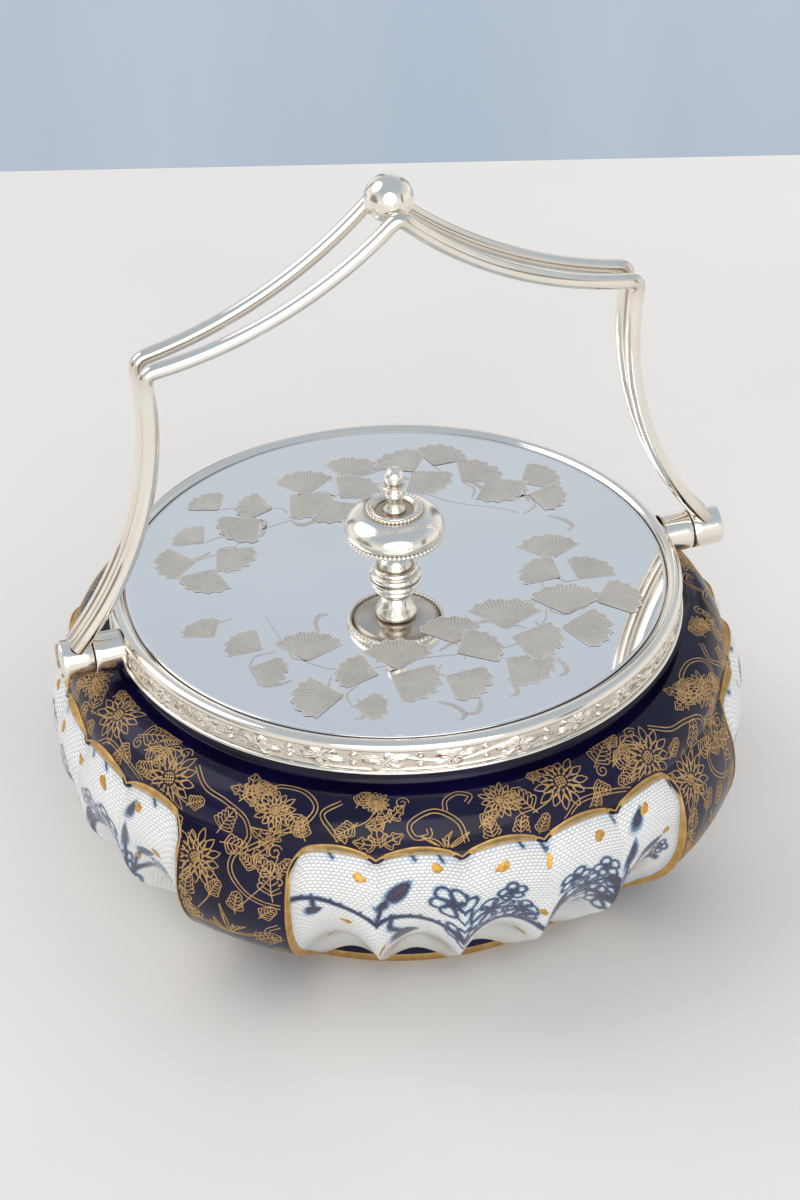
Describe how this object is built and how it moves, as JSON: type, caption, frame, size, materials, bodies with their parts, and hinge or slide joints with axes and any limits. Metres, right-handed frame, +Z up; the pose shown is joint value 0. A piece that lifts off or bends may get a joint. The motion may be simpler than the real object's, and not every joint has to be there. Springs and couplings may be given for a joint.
{
  "type": "biscuit jar",
  "caption": "Squat round porcelain biscuit jar with fluted relief panels, a plated metal collar, a flat lid with a turned finial and a bail handle of twin rods.",
  "frame": {"origin": "centre of the foot ring on the table, which is also the middle of the box's base", "axes": "+Z up; X along the pivot axis of the bail handle, +X to the right seen from the front; -Y is the front"},
  "size_m": [0.171, 0.171, 0.1838],
  "materials": {
    "porcelain": "glazed white porcelain with a dark cobalt ground, gilt line work and blue painted panels",
    "plaster": "set plaster",
    "silver_plate": "polished silver plate, slightly tarnished",
    "lid_silver": "mirror polished plate with bright cut leaves",
    "finial_silver": "polished silver plate",
    "plated_pin": "plain plated pin",
    "steel": "plain steel"
  },
  "bodies": {
    "jar": {"porcelain_bowl": "porcelain", "collar_plaster_bed": "plaster", "collar_band": "silver_plate", "lid_seat_ring": "silver_plate", "collar_top_bead": "silver_plate", "collar_bottom_wire": "silver_plate", "left_lug": "silver_plate", "right_lug": "silver_plate", "left_pivot_pin": "plated_pin", "right_pivot_pin": "plated_pin"},
    "handle": {"left_barrel": "silver_plate", "right_barrel": "silver_plate", "left_barrel_disc": "silver_plate", "right_barrel_disc": "silver_plate", "handle_front_rod": "silver_plate", "handle_back_rod": "silver_plate", "handle_ball": "silver_plate"},
    "lid": {"lid_plate": "lid_silver", "lid_locating_ring": "silver_plate", "finial_foot": "finial_silver", "finial_stem": "finial_silver", "finial_cap": "finial_silver", "cap_bead_ring": "finial_silver", "finial_dish_ring": "finial_silver", "finial_knop": "finial_silver", "finial_stud": "steel", "lid_washer": "steel", "lid_nut": "steel"}
  },
  "joints": [
    {"name": "handle_swing", "type": "hinge", "parent": "jar", "child": "handle", "pos_m": [0, 0, 0.0694], "axis": [1, 0, 0], "range_deg": [-88, 88]},
    {"name": "lid_lift", "type": "slide", "parent": "jar", "child": "lid", "axis": [0, 0, 1], "range_m": [0, 0.016]}
  ]
}
